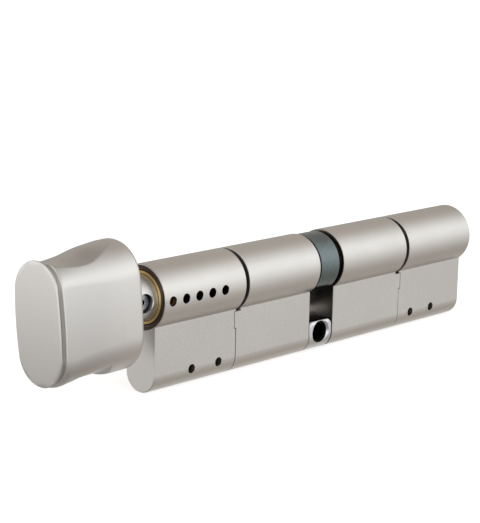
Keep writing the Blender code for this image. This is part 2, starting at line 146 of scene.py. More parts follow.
def softened(points, radius, steps=4):
    """Rounds the corners of an open or closed profile. radius is one number, or one
    for each point; 0 keeps a corner."""
    n = len(points)
    radii = radius if hasattr(radius, "__len__") else [radius] * n
    out = []
    for i, p in enumerate(points):
        p, r = Vector(p), radii[i]
        a, b = Vector(points[i - 1]), Vector(points[(i + 1) % n])
        if r <= 0 or (p - a).length < 1e-6 or (p - b).length < 1e-6:
            out.append(tuple(p))
            continue
        reach = min(r, (p - a).length * 0.45, (p - b).length * 0.45)
        s, e = p + (a - p).normalized() * reach, p + (b - p).normalized() * reach
        for k in range(steps + 1):
            t = k / steps
            out.append(tuple(s * (1 - t) ** 2 + p * 2 * t * (1 - t) + e * t * t))
    return out


def lathe(name, profile, segments=96, loop=False, matrix=None):
    """A turned body: profile is (along, radius) pairs about x."""
    bm = bmesh.new()
    rings = []
    for x, r in profile:
        if r < 1e-6:
            rings.append([bm.verts.new((x, 0, 0))])
        else:
            rings.append(
                [
                    bm.verts.new(
                        (
                            x,
                            r * math.cos(2 * math.pi * k / segments),
                            r * math.sin(2 * math.pi * k / segments),
                        )
                    )
                    for k in range(segments)
                ]
            )
    bridge_rings(bm, rings, loop)
    if not loop:
        for ring in (rings[0], rings[-1]):
            if len(ring) > 2:
                bm.faces.new(ring)
    return close(bm, name, matrix)


def loft(name, outlines, matrix=None):
    """A closed body through outlines, each a list of (x, y, z) with equal counts."""
    bm = bmesh.new()
    rings = [[bm.verts.new(p) for p in outline] for outline in outlines]
    bridge_rings(bm, rings)
    bm.faces.new(rings[0])
    bm.faces.new(rings[-1])
    return close(bm, name, matrix)


def slab(name, low, high, chamfer=0.0):
    bm = bmesh.new()
    bmesh.ops.create_cube(bm, size=1)
    size = [b - a for a, b in zip(low, high)]
    centre = [(a + b) / 2 for a, b in zip(low, high)]
    bm.transform(Matrix.Translation(centre) @ Matrix.Diagonal((*size, 1)))
    if chamfer:
        bmesh.ops.bevel(
            bm, geom=bm.edges[:], offset=chamfer, segments=2, affect="EDGES", profile=0.5
        )
    return close(bm, name)


def drill(name, start, end, radius, mouth=0.0, segments=48):
    """A cutter for a hole from start to end with a small chamfer at its mouth: at
    start, and at end too when mouth is a pair."""
    a, b = Vector(start), Vector(end)
    length = (b - a).length
    m0, m1 = mouth if hasattr(mouth, "__len__") else (mouth, None)
    profile = [(-1.0, 0.0), (-1.0, radius + m0 + 1.0), (m0, radius)]
    if m1 is None:
        profile += [(length, radius), (length, 0.0)]
    else:
        profile += [
            (length - m1, radius),
            (length + 1.0, radius + m1 + 1.0),
            (length + 1.0, 0.0),
        ]
    turn = (b - a).to_track_quat("X", "Z").to_matrix().to_4x4()
    return lathe(name, profile, segments, matrix=Matrix.Translation(a) @ turn)


def worked(mesh, cutters=(), unions=(), bevel=0.0, angle=35, clean=0.004):
    """mesh after its joins and cuts, as a new mesh; then fine bevels on sharp edges."""
    piece = bench(mesh, "work")
    helpers = []
    for kind, meshes in (("UNION", unions), ("DIFFERENCE", cutters)):
        for m in meshes:
            helper = bench(m, "helper")
            helpers.append(helper)
            step = piece.modifiers.new("step", "BOOLEAN")
            step.operation, step.solver, step.object = kind, "EXACT", helper
    bpy.context.view_layer.update()
    dg = bpy.context.evaluated_depsgraph_get()
    made = bpy.data.meshes.new_from_object(piece.evaluated_get(dg))
    for o in [piece, *helpers]:
        bpy.data.objects.remove(o, do_unlink=True)
    bm = bmesh.new()
    bm.from_mesh(made)
    bmesh.ops.remove_doubles(bm, verts=bm.verts, dist=clean)
    bmesh.ops.dissolve_degenerate(bm, edges=bm.edges, dist=clean)
    if bevel:
        bm.normal_update()
        edges = [
            e
            for e in bm.edges
            if len(e.link_faces) == 2
            and e.calc_face_angle(0) > math.radians(angle)
        ]
        bmesh.ops.bevel(
            bm,
            geom=edges,
            offset=bevel,
            segments=2,
            affect="EDGES",
            profile=0.5,
            clamp_overlap=True,
        )
    bm.to_mesh(made)
    bm.free()
    return made


def piece(name, mesh, body, nodes, slot, material, sharp=32):
    """The finished mesh in the row frame, riding on its body in place of CAD nodes."""
    mesh.transform(TO_ROW)
    mesh.name = name
    mesh.materials.clear()
    mesh.materials.append(material)
    mesh.shade_smooth()
    mesh.set_sharp_from_angle(angle=math.radians(sharp))
    made = bpy.data.objects.new(name, mesh)
    PIECES.objects.link(made)
    weighted = made.modifiers.new("weighted", "WEIGHTED_NORMAL")
    weighted.keep_sharp = True
    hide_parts(*([nodes] if isinstance(nodes, str) else nodes))
    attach(made, body)
    return made


def smooth_track(xs, ys):
    """A monotone cubic through (xs, ys), as a function."""
    xs, ys = np.array(xs, float), np.array(ys, float)
    h = np.diff(xs)
    d = np.diff(ys) / h
    m = np.zeros(len(xs))
    m[0], m[-1] = d[0], d[-1]
    for i in range(1, len(xs) - 1):
        if d[i - 1] * d[i] > 0:
            w1, w2 = 2 * h[i] + h[i - 1], h[i] + 2 * h[i - 1]
            m[i] = (w1 + w2) / (w1 / d[i - 1] + w2 / d[i])

    def at(x):
        i = int(np.clip(np.searchsorted(xs, x) - 1, 0, len(h) - 1))
        t = (x - xs[i]) / h[i]
        return float(
            ys[i] * (1 + 2 * t) * (1 - t) ** 2
            + h[i] * m[i] * t * (1 - t) ** 2
            + ys[i + 1] * t * t * (3 - 2 * t)
            + h[i] * m[i + 1] * t * t * (t - 1)
        )

    return at


# ------------------------------------------------------------------ materials
class Nodes:
    """A little shorthand for building one material's node tree."""

    def __init__(self, name):
        self.material = bpy.data.materials.new(name)
        self.material.use_nodes = True
        self.tree = self.material.node_tree
        self.shader = self.tree.nodes["Principled BSDF"]
        self.coord = self.tree.nodes.new("ShaderNodeTexCoord").outputs["Object"]

    def node(self, kind, values=(), links=(), **settings):
        made = self.tree.nodes.new(kind)
        for key, value in settings.items():
            setattr(made, key, value)
        for key, value in dict(values).items():
            made.inputs[key].default_value = value
        for key, source in dict(links).items():
            self.tree.links.new(source, made.inputs[key])
        return made

    def stretched(self, scale, turn=(0, 0, 0)):
        return self.node(
            "ShaderNodeMapping",
            {"Scale": scale, "Rotation": turn},
            {"Vector": self.coord},
        ).outputs["Vector"]

    def noise(self, scale, detail=2.0, rough=0.5, vector=None, distortion=0.0):
        return self.node(
            "ShaderNodeTexNoise",
            {"Scale": scale, "Detail": detail, "Roughness": rough, "Distortion": distortion},
            {"Vector": vector or self.coord},
        ).outputs["Fac"]

    def ranged(self, value, low, high, to_low=0.0, to_high=1.0):
        return self.node(
            "ShaderNodeMapRange",
            {"From Min": low, "From Max": high, "To Min": to_low, "To Max": to_high},
            {"Value": value},
        ).outputs["Result"]

    def math(self, operation, a, b=None):
        made = self.tree.nodes.new("ShaderNodeMath")
        made.operation = operation
        for i, v in enumerate((a, b)):
            if v is None:
                continue
            if isinstance(v, (int, float)):
                made.inputs[i].default_value = v
            else:
                self.tree.links.new(v, made.inputs[i])
        return made.outputs[0]

    def mix(self, factor, a, b):
        made = self.tree.nodes.new("ShaderNodeMix")
        made.data_type = "RGBA"
        if isinstance(factor, (int, float)):
            made.inputs["Factor"].default_value = factor
        else:
            self.tree.links.new(factor, made.inputs["Factor"])
        for socket, v in (("A", a), ("B", b)):
            at = [s for s in made.inputs if s.name == socket and s.type == "RGBA"][0]
            if isinstance(v, tuple):
                at.default_value = (*v, 1)
            else:
                self.tree.links.new(v, at)
        return [s for s in made.outputs if s.type == "RGBA"][0]

    def bump(self, height, strength, distance, normal=None):
        return self.node(
            "ShaderNodeBump",
            {"Strength": strength, "Distance": distance},
            {"Height": height, **({"Normal": normal} if normal else {})},
        ).outputs["Normal"]

    def edges(self, radius):
        """0 on faces, rising to 1 along sharp edges, from the rounded normal."""
        rounded = self.node(
            "ShaderNodeBevel", {"Radius": radius}, samples=6
        ).outputs["Normal"]
        plain = self.node("ShaderNodeNewGeometry").outputs["Normal"]
        dot = self.node(
            "ShaderNodeVectorMath", links={0: rounded, 1: plain}, operation="DOT_PRODUCT"
        ).outputs["Value"]
        return self.ranged(dot, 0.999, 0.86, 0.0, 1.0)

    def set(self, **sockets):
        for name, value in sockets.items():
            socket = self.shader.inputs[name.replace("_", " ")]
            if isinstance(value, (int, float)):
                socket.default_value = value
            elif isinstance(value, tuple):
                socket.default_value = (*value, 1)
            else:
                self.tree.links.new(value, socket)
        return self.material


def metal(
    name,
    colour,
    shade,
    rough,
    rough_spread,
    grain=9000.0,
    grain_depth=0.0000012,
    streak=None,
    streak_depth=0.0,
    wear=0.0,
    wear_colour=None,
    wear_radius=0.00018,
    blotch=90.0,
    dim=None,
    dim_colour=(0.0, 0.0, 0.0),
):
    """A plated or bare metal: a fine satin grain, drawing or turning lines, slow
    variation of colour and roughness, and edges rubbed a little brighter. dim gives,
    from the nodes, a factor on the colour for painted shade in bores, holes and gaps
    (and, on the housings, for faint milled marks)."""
    n = Nodes(name)
    slow = n.noise(blotch, 3.0, 0.55)
    fine = n.noise(grain, 2.0, 0.6)
    mottle = n.noise(grain * 0.16, 2.0, 0.5)
    tone = n.math(
        "ADD",
        n.math("MULTIPLY", n.ranged(slow, 0.3, 0.7), 0.6),
        n.math("MULTIPLY", n.ranged(mottle, 0.3, 0.7), 0.4),
    )
    colour_out = n.mix(tone, shade, colour)
    rough_out = n.ranged(tone, 0.0, 1.0, rough + rough_spread, rough - rough_spread)
    normal = n.bump(fine, 1.0, grain_depth)
    if streak:
        lines = n.noise(1.0, 3.0, 0.65, n.stretched(streak))
        rough_out = n.math("ADD", rough_out, n.ranged(lines, 0.25, 0.75, -0.035, 0.035))
        normal = n.bump(lines, 1.0, streak_depth, normal)
    if wear:
        edge = n.math("MULTIPLY", n.edges(wear_radius), wear)
        edge = n.math("MULTIPLY", edge, n.ranged(slow, 0.25, 0.6, 0.5, 1.0))
        colour_out = n.mix(edge, colour_out, wear_colour or colour)
        rough_out = n.math("SUBTRACT", rough_out, n.math("MULTIPLY", edge, 0.08))
    # painted shade: colour mixed towards dim_colour wherever dim falls below 1
    if dim:
        colour_out = n.mix(dim(n), dim_colour, colour_out)
    return n.set(
        Base_Color=colour_out, Roughness=rough_out, Metallic=1.0, Normal=normal
    )


def from_axis(n, across, along, c0, c1):
    """Distance in metres from a line parallel to an axis, through (c0, c1)."""
    split = n.node("ShaderNodeSeparateXYZ", links={0: n.coord}).outputs
    a = n.math("SUBTRACT", split[across], c0)
    b = n.math("SUBTRACT", split[along], c1)
    return n.math("SQRT", n.math("ADD", n.math("MULTIPLY", a, a), n.math("MULTIPLY", b, b)))


def milled_marks_and_painted_shade(n):
    """The web's flat sides are milled, a little duller than the drawn head and foot.
    The rest is painted shade, in brown: inside the bores, on the end face's ring round
    the thumb-turn's plug, on the side holes' walls and on the faces beside the cam slot."""
    split = n.node("ShaderNodeSeparateXYZ", links={0: n.coord}).outputs
    flat = n.ranged(n.math("ABSOLUTE", split[1]), 0.00488, 0.00497)
    low = n.ranged(split[2], AXIS_Z - 0.0066, AXIS_Z - 0.0070)
    speck = n.noise(1.0, 3.0, 0.7, n.stretched((900.0, 2600.0, 2600.0)))
    marks = n.ranged(speck, 0.35, 0.65, 0.12, 0.02)
    web = n.math("SUBTRACT", 1.0, n.math("MULTIPLY", n.math("MULTIPLY", flat, low), marks))
    radius = from_axis(n, 1, 2, 0.0, AXIS_Z)
    # painted shade inside the bores
    bore_shade = n.ranged(radius, 0.00718, 0.00735, 0.35, 1.0)
    # painted shade, with the thumb-turn's dark back painted in as reflection, on the end face's ring round its
    # plug
    end_ring_shade = n.math(
        "MULTIPLY",
        n.ranged(split[0], -0.06485, -0.06497),
        n.ranged(radius, 0.00833, 0.00827),
    )
    end_ring_shade = n.ranged(end_ring_shade, 0.0, 1.0, 1.0, 0.07)
    # painted shade on the walls of the side holes on the knob side
    height = n.math("ABSOLUTE", n.math("SUBTRACT", split[2], AXIS_Z))
    hole_shade = n.math("MULTIPLY", n.ranged(height, 0.00136, 0.00133), n.ranged(split[1], 0.0, -0.001))
    hole_shade = n.math("MULTIPLY", hole_shade, n.ranged(split[0], -0.038, -0.039))
    hole_shade = n.math("MULTIPLY", hole_shade, n.ranged(split[0], -0.0642, -0.0640))
    hole_shade = n.math("MULTIPLY", hole_shade, n.ranged(radius, 0.00844, 0.00838))
    hole_shade = n.ranged(hole_shade, 0.0, 1.0, 1.0, 0.12)
    # painted shade on the faces beside the cam slot, between the parts
    slot_face_shade = n.ranged(n.math("ABSOLUTE", split[0]), 0.00505, 0.00512, 0.30, 1.0)
    marks_with_shade = n.math("MULTIPLY", n.math("MULTIPLY", web, bore_shade), end_ring_shade)
    return n.math("MULTIPLY", n.math("MULTIPLY", marks_with_shade, hole_shade), slot_face_shade)


def groove_painted_shade(n):
    """Painted shade: the groove behind the thumb-turn's front plate and the rounded rim
    before it are darkened, fading out towards the top and weaker at the bottom.
    """
    split = n.node("ShaderNodeSeparateXYZ", links={0: n.coord}).outputs
    along = split[0]
    left = n.ranged(along, -0.09898, -0.0984)
    right = n.ranged(along, -0.09705, -0.09722)
    low = n.ranged(split[2], AXIS_Z + 0.011, AXIS_Z + 0.007)
    low = n.math("MULTIPLY", low, n.ranged(split[2], AXIS_Z - 0.012, AXIS_Z - 0.007, 0.3, 1.0))
    inside = n.math("MULTIPLY", n.math("MULTIPLY", left, right), low)
    return n.ranged(inside, 0.0, 1.0, 1.0, 0.80)


SATIN = metal(
    "satin_nickel",
    (0.700, 0.683, 0.655),
    (0.672, 0.654, 0.624),
    0.33,
    0.035,
    grain=8500.0,
    grain_depth=0.0000022,
    streak=(90.0, 4200.0, 4200.0),
    streak_depth=0.0000012,
    wear=0.6,
    wear_colour=(0.80, 0.79, 0.77),
    # painted shade in bores, holes, the knob-side end ring and beside the cam slot, with the web's milled marks
    dim=milled_marks_and_painted_shade,
    dim_colour=(0.070, 0.040, 0.026),
)
KNOB_SATIN = metal(
    "knob_nickel",
    (0.705, 0.690, 0.668),
    (0.690, 0.674, 0.650),
    0.33,
    0.02,
    grain=9500.0,
    grain_depth=0.0000010,
    wear=0.15,
    wear_colour=(0.78, 0.77, 0.75),
    blotch=60.0,
    # painted shade in the groove behind the front plate and on its rim
    dim=groove_painted_shade,
    dim_colour=(0.10, 0.09, 0.08),
)
def bridge_shade(n):
    """Painted shade: the fixing bore is darkened almost to black inside, and the block's top face is darkened.
    """
    split = n.node("ShaderNodeSeparateXYZ", links={0: n.coord}).outputs
    away = from_axis(n, 0, 2, 0.0, AXIS_Z - 0.019)
    hole = n.ranged(away, 0.00298, 0.00306, 0.02, 1.0)
    block_top = n.ranged(split[2], AXIS_Z - 0.01568, AXIS_Z - 0.01558, 1.0, 0.10)
    return n.math("MULTIPLY", hole, block_top)


CHROME = metal(
    "bright_chrome",
    (0.68, 0.69, 0.71),
    (0.61, 0.62, 0.64),
    0.10,
    0.03,
    grain=6000.0,
    grain_depth=0.0000010,
    wear=0.3,
    wear_colour=(0.9, 0.9, 0.91),
    # painted shade inside the fixing bore, and the block's top darker
    dim=lambda n: bridge_shade(n),
)
STEEL = metal(
    "machined_steel",
    (0.60, 0.60, 0.61),
    (0.50, 0.50, 0.51),
    0.28,
    0.05,
    grain=7000.0,
    grain_depth=0.0000015,
    streak=(2600.0, 120.0, 120.0),
    streak_depth=0.0000012,
    wear=0.4,
    wear_colour=(0.72, 0.72, 0.73),
)
HUB_STEEL = metal(
    "hub_nickel",
    (0.86, 0.85, 0.83),
    (0.80, 0.79, 0.77),
    0.44,
    0.04,
    grain=7000.0,
    grain_depth=0.0000010,
    streak=(5200.0, 150.0, 150.0),
    streak_depth=0.0000016,
    wear=0.4,
    wear_colour=(0.85, 0.84, 0.82),
    # painted shade on the grub screw hole's wall, on the near side
    dim=lambda n: n.math(
        "MAXIMUM",
        n.ranged(from_axis(n, 0, 2, -0.069, AXIS_Z), 0.00243, 0.0025, 0.22, 1.0),
        n.ranged(
            n.node("ShaderNodeSeparateXYZ", links={0: n.coord}).outputs[1], -0.0030, -0.0029, 0.0, 1.0
        ),
    ),
    dim_colour=(0.03, 0.035, 0.032),
)
SCREW_STEEL = metal(
    "zinc_screw",
    (0.52, 0.56, 0.62),
    (0.40, 0.43, 0.48),
    0.30,
    0.06,
    grain=7000.0,
    grain_depth=0.0000020,
    wear=0.5,
    wear_colour=(0.45, 0.48, 0.52),
    # painted shade: the screw nearly black deeper than its face, in the hex socket and down the hole
    dim=lambda n: n.ranged(
        n.node("ShaderNodeSeparateXYZ", links={0: n.coord}).outputs[1], -0.00445, -0.0046, 0.04, 1.0
    ),
)
CAM_STEEL = metal(
    "sintered_steel",
    (0.185, 0.222, 0.228),
    (0.135, 0.165, 0.172),
    0.21,
    0.05,
    grain=5200.0,
    grain_depth=0.0000060,
    streak=(2200.0, 200.0, 200.0),
    streak_depth=0.0000015,
    wear=0.7,
    wear_colour=(0.33, 0.34, 0.34),
    blotch=160.0,
    # painted shade: a thin dark band at the cam's end beside the knob-side module
    dim=lambda n: n.ranged(
        n.node("ShaderNodeSeparateXYZ", links={0: n.coord}).outputs[0],
        (span("cam")[0] + 0.25) / 1000,
        (span("cam")[0] + 0.55) / 1000,
        0.15,
        1.0,
    ),
)
def plug_painted_shade(n):
    """Painted shade on the brass: darker close round the plug axis, where the plug is
    turned down, and at the end next to the cam, and a little along the knob side inside the housing.
    """
    split = n.node("ShaderNodeSeparateXYZ", links={0: n.coord}).outputs
    waist = n.ranged(from_axis(n, 1, 2, 0.0, AXIS_Z), 0.0053, 0.0058, 0.12, 1.0)
    middle_end = n.ranged(n.math("ABSOLUTE", split[0]), 0.0062, 0.0075, 0.15, 1.0)
    side = n.ranged(split[0], -0.0630, -0.0635, 0.80, 1.0)
    front = n.ranged(split[0], 0.0, 0.001, 0.0, 1.0)
    side = n.math("MAXIMUM", side, front)
    return n.math("MULTIPLY", n.math("MULTIPLY", waist, middle_end), side)


BRASS = metal(
    "plug_brass",
    (0.76, 0.56, 0.27),
    (0.62, 0.43, 0.19),
    0.27,
    0.05,
    grain=7000.0,
    grain_depth=0.0000015,
    streak=(3200.0, 150.0, 150.0),
    streak_depth=0.0000018,
    wear=0.5,
    wear_colour=(0.88, 0.70, 0.38),
    # painted shade near the plug axis, by the cam and along the knob side
    dim=lambda n: plug_painted_shade(n),
    dim_colour=(0.020, 0.014, 0.008),
)
BLACK_STEEL = metal(
    "black_steel",
    (0.030, 0.029, 0.028),
    (0.018, 0.017, 0.016),
    0.42,
    0.06,
    grain=6000.0,
    grain_depth=0.0000025,
    wear=0.25,
    wear_colour=(0.16, 0.155, 0.15),
)
SPRING = metal(
    "spring_wire",
    (0.46, 0.46, 0.47),
    (0.36, 0.36, 0.37),
    0.26,
    0.04,
    grain=9000.0,
    grain_depth=0.0000010,
    wear=0.0,
)


# ------------------------------------------------------------------ housings
def euro(x, inset, head_steps=132, foot_steps=44):
    """The profile at x, drawn in by inset: round head, straight web, round foot."""
    head, web, foot = HEAD_R - inset, WEB_HALF - inset, FOOT_R - inset
    meet = math.asin(web / head)
    points = []
    for k in range(head_steps + 1):
        a = meet - math.pi / 2 + (2 * math.pi - 2 * meet) * k / head_steps
        points.append((x, head * math.cos(a), head * math.sin(a)))
    for k in range(foot_steps + 1):
        a = math.pi + math.pi * k / foot_steps
        points.append((x, foot * math.cos(a), FOOT_Z + foot * math.sin(a)))
    return points


def bore(name, x0, x1, c0, c1, segments=128):
    return lathe(
        name,
        [
            (x0 - 0.8, 0.0),
            (x0 - 0.8, BORE_R + c0 + 0.8),
            (x0 + c0, BORE_R),
            (x1 - c1, BORE_R),
            (x1 + 0.8, BORE_R + c1 + 0.8),
            (x1 + 0.8, 0.0),
        ],
        segments,
    )


def mirrored(mesh, side):
    if side < 0:
        mesh.transform(Matrix.Diagonal((-1, 1, 1, 1)))
        mesh.flip_normals()
    return mesh


FINE = 0.1  # half the hairline between the modules


def inner_module(name, side):
    body = loft(
        name,
        [
            euro(SLOT_X, 0.22),
            euro(SLOT_X + 0.07, 0.09),
            euro(SLOT_X + 0.22, 0.0),
            euro(STEP_X - FINE, 0.0),
        ],
    )
    # The head stops short for the clip's gap, with its own small chamfer.
    ring = lathe(
        "clip_gap",
        [
            (CLIP_X, 0.0),
            (CLIP_X, HEAD_R - 0.16),
            (CLIP_X - 0.16, HEAD_R),
            (CLIP_X - 0.36, HEAD_R + 0.2),
            (CLIP_X - 0.36, 12.0),
            (40.0, 12.0),
            (40.0, 0.0),
        ],
        132,
    )
    bm = bmesh.new()
    bm.from_mesh(ring)
    cut = bmesh.ops.bisect_plane(
        bm,
        geom=bm.verts[:] + bm.edges[:] + bm.faces[:],
        plane_co=(0, 0, GAP_Z - FINE),
        plane_no=(0, 0, 1),
        clear_inner=True,
    )
    bmesh.ops.holes_fill(
        bm, edges=[e for e in cut["geom_cut"] if isinstance(e, bmesh.types.BMEdge)]
    )
    ring = close(bm, "clip_gap")
    cutters = [
        ring,
        bore("bore", SLOT_X, CLIP_X, 0.3, 0.2),
        lathe("bore_rest", [(CLIP_X - 2, 0), (CLIP_X - 2, BORE_R), (41, BORE_R), (41, 0)], 128),
        slab("step", (JOINT_X - FINE, -10, -26), (40, 10, STEP_Z + FINE)),
        slab("channel", (0, -2.3, -22.4), (40, 2.3, -17.4)),
    ]
    mesh = mirrored(worked(body, cutters), side)
    return piece(
        name + "_finish", mesh, "housing", name, "satin_nickel", SATIN
    )


def end_module(name, side):
    body = loft(
        name,
        [
            euro(JOINT_X, 0.16),
            euro(JOINT_X + 0.05, 0.07),
            euro(JOINT_X + 0.16, 0.0),
            euro(END_X - 0.30, 0.0),
            euro(END_X - 0.09, 0.10),
            euro(END_X, 0.28),
        ],
    )
    cutters = [
        bore("bore", JOINT_X, END_X, 0.2, 0.22),
        slab("step_upper", (30, -10, STEP_Z - FINE), (STEP_X + FINE, 10, GAP_Z + FINE)),
        slab("step_lower", (30, -10, -26), (JOINT_X + FINE, 10, STEP_Z - FINE + 0.02)),
        slab("channel", (30, -2.3, -22.4), (57.3, 2.3, -17.4)),
    ]
    sides = "key" if side > 0 else "knob"
    for which in ("outer", "inner"):
        x = abs(middle(f"cross_pin_{sides}_{which}"))
        cutters.append(
            drill("pin_hole", (x, -WEB_HALF - 0.02, CROSS_Z), (x, WEB_HALF + 0.02, CROSS_Z), 1.2, (0.1, 0.1))
        )
    for x in PIN_ROWS:
        if side < 0:
            cutters.append(drill("side_hole", (x, -HEAD_R - 0.02, 0), (x, -5, 0), 1.3, 0.07))
        else:
            cutters.append(
                lathe(
                    "chamber",
                    [(-16.5, 0), (-16.5, 1.5), (-4.5, 1.5), (-4.5, 0)],
                    40,
                    matrix=Matrix.Translation((x, 0, 0)) @ ALONG_Z,
                )
            )
    mesh = mirrored(worked(body, cutters), side)
    return piece(name + "_finish", mesh, "housing", name, "satin_nickel", SATIN)


inner_module("knob_inner_housing", -1)
inner_module("key_inner_housing", 1)
end_module("knob_end_housing", -1)
end_module("key_end_housing", 1)

# ------------------------------------------------------------------ bridge
BRIDGE_TOP = -15.5
BLOCK = (-4.8, 4.7)


def block(x, inset, drop=0.0, corner=1.2, steps=12, foot_steps=40):
    w, top = WEB_HALF - inset, BRIDGE_TOP - inset - drop
    c = corner
    points = []
    for k in range(foot_steps + 1):
        a = math.pi + math.pi * k / foot_steps
        points.append(
            (x, (FOOT_R - inset) * math.cos(a), FOOT_Z + (FOOT_R - inset) * math.sin(a))
        )
    for start, sign in ((0, 1), (90, -1)):
        for k in range(steps + 1):
            a = math.radians(start + 90 * k / steps)
            points.append(
                (x, sign * (w - c) + c * math.cos(a), top - c + c * math.sin(a))
            )
    return points


SHOULDER = 1.5
ends = []
for k in range(13):
    turn = math.radians(90 * k / 12)
    ends.append((SHOULDER * (1 - math.cos(turn)), SHOULDER * (1 - math.sin(turn))))
bridge_mesh = worked(
    loft(
        "bridge",
        [block(BLOCK[0] + x, 0.25 * max(0.0, 1 - x / 0.25) ** 2, z) for x, z in ends]
        + [block(BLOCK[1] - x, 0.25 * max(0.0, 1 - x / 0.25) ** 2, z) for x, z in reversed(ends)],
    ),
    unions=[slab("arms", (-57.0, -2.0, -22.1), (57.0, 2.0, -17.7), 0.18)],
    cutters=[
        drill("screw_hole", (0, -WEB_HALF - 0.02, -19), (0, WEB_HALF + 0.02, -19), 2.5, 0, 72),
        drill("sink_near", (0, -WEB_HALF - 0.02, -19), (0, -WEB_HALF + 1.2, -19), 3.0, 0.55, 72),
        drill("sink_far", (0, WEB_HALF + 0.02, -19), (0, WEB_HALF - 1.2, -19), 3.0, 0.55, 72),
    ]
    + [
        drill("arm_hole", (x, -2.05, CROSS_Z), (x, 2.05, CROSS_Z), 1.2, (0.05, 0.05), 32)
        for x in [middle(f"cross_pin_{s}") for s in ("knob_outer", "knob_inner", "key_inner", "key_outer")]
    ],
)
piece("bridge_finish", bridge_mesh, "housing", "bridge", "bright_chrome", CHROME)

for node in ("knob_outer", "knob_inner", "key_inner", "key_outer"):
    name = f"cross_pin_{node}"
    half = span(name, 1)[1]
    r = (span(name, 2)[1] - span(name, 2)[0]) / 2
    piece(
        name + "_finish",
        lathe(
            name,
            softened(
                [(-half, 0), (-half, r), (half, r), (half, 0)], [0, 0.3, 0.3, 0], 5
            ),
            48,
            matrix=Matrix.Translation((middle(name), 0, CROSS_Z)) @ ALONG_Y,
        ),
        "housing",
        name,
        "steel",
        BLACK_STEEL,
    )


# ------------------------------------------------------------------ cam
def lever(x, inset, tip_r=15.0):
    root, tip = 4.0 - inset, 3.1 - inset
    a = math.asin(tip / (tip_r - inset))
    flank = [(x, -root, -6.0)]
    arc = [
        (
            x,
            (tip_r - inset) * math.cos(-math.pi / 2 - a + 2 * a * k / 24),
            (tip_r - inset) * math.sin(-math.pi / 2 - a + 2 * a * k / 24),
        )
        for k in range(25)
    ]
    return flank + arc + [(x, root, -6.0)]


CAM_X0, CAM_X1 = span("cam", 0)
REST = math.radians(30.0)
lever_mesh = loft(
    "lever",
    [
        lever(CAM_X0 + 0.3, 0.3),
        lever(CAM_X0 + 0.4, 0.1),
        lever(CAM_X0 + 0.6, 0.0),
        lever(CAM_X1 - 0.6, 0.0),
        lever(CAM_X1 - 0.4, 0.1),
        lever(CAM_X1 - 0.3, 0.3),
    ],
    Matrix.Rotation(REST, 4, "X"),
)
cam_mesh = worked(
    lathe(
        "cam",
        softened(
            [(CAM_X1, 0.0), (CAM_X1, 8.2), (CAM_X0, 8.2), (CAM_X0, 0.0)],
            [0, 0.3, 0.3, 0],
            5,
        ),
        144,
    ),
    unions=[lever_mesh],
    cutters=[
        lathe("recess", [(CAM_X0 - 1, 0), (CAM_X0 - 1, 6.75), (-0.5, 6.75), (-0.5, 0)], 128),
        lathe("bore", [(-6, 0), (-6, 5.0), (6, 5.0), (6, 0)], 96),
        slab("notch", (-2, -1.8, -6.6), (5, 1.8, 6.6)),
    ],
)
piece("cam_finish", cam_mesh, "cam", "cam", "cam_steel", CAM_STEEL)

# ------------------------------------------------------------------ thumb-turn
KNOB_REAR = span("knob", 0)[1]
KNOB_FRONT = span("knob", 0)[0]
LEAN = Matrix.Rotation(math.radians(-5.3), 4, "X")
FLANK_R, SCOOP_R = 110.0, 12.5
STATIONS = [
    # x, half width, half height above, below, scoop above, below, its crown above
    (-98.75, 7.58, 14.70, 15.2, 20, 20, 17),
    (-98.70, 7.74, 14.86, 15.36, 20, 20, 17),
    (-98.62, 7.83, 14.96, 15.46, 20, 20, 17),
    (-98.50, 7.87, 15.0, 15.52, 20, 20, 17),
    (-98.38, 7.70, 14.95, 15.38, 20, 20, 17),
    (-98.00, 7.3, 14.55, 15.08, 15.6, 20, 17),
    (-97.65, 7.0, 14.2, 14.93, 14.3, 20, 17),
    (-97.32, 6.95, 14.1, 14.9, 14.1, 20, 17),
    (-97.22, 7.6, 14.5, 15.3, 14.1, 20, 17),
    (-97.12, 7.78, 14.75, 15.5, 14.1, 20, 17),
    (-96.90, 7.9, 15.05, 15.72, 14.1, 17, 17),
    (-96.40, 8.0, 15.3, 15.9, 14.1, 15.9, 17),
    (-95.40, 8.17, 15.5, 16.05, 14.1, 15.6, 16.8),
    (-93.50, 8.5, 15.85, 16.05, 14.2, 15.3, 15.2),
    (-91.00, 8.91, 16.2, 16.05, 14.47, 14.95, 13.6),
    (-88.00, 9.33, 16.45, 16.05, 14.85, 14.86, 13.2),
    (-85.50, 9.6, 16.55, 16.05, 15.4, 14.85, 12.6),
    (-83.60, 9.74, 16.58, 16.05, 15.8, 14.62, 12.2),
    (-82.60, 9.8, 16.6, 16.05, 15.95, 14.9, 12.2),
    (-81.60, 9.85, 16.6, 16.05, 16.07, 15.75, 12.2),
    (-80.00, 9.92, 16.6, 16.05, 16.22, 15.9, 12.2),
    (-77.00, 9.95, 16.6, 16.05, 16.5, 16.05, 12.2),
    (-74.60, 9.9, 16.6, 16.05, 17.0, 17.0, 12.2),
    (-73.90, 9.7, 16.4, 15.85, 17.0, 17.0, 12.2),
    (-73.55, 9.35, 16.05, 15.5, 17.0, 17.0, 12.2),
    (-73.40, 8.9, 15.6, 15.05, 17.0, 17.0, 12.2),
]
DOME_EDGE = smooth_track([-98.75, -98.70, -98.62, -98.50, -98.38, -98.00], [1, 0.92, 0.8, 0.6, 0.4, 0])


def crease(top, r, scoop, scoop_r):
    """Where on an end arc of radius r the scoop begins, as an angle above level."""
    a = r * r / (2 * scoop_r)
    inside = r * r + 4 * a * (top - scoop + a)
    sine = (r - math.sqrt(max(inside, 0.0))) / (2 * a)
    return math.asin(min(max(sine, math.sin(math.radians(18))), math.sin(math.radians(80))))


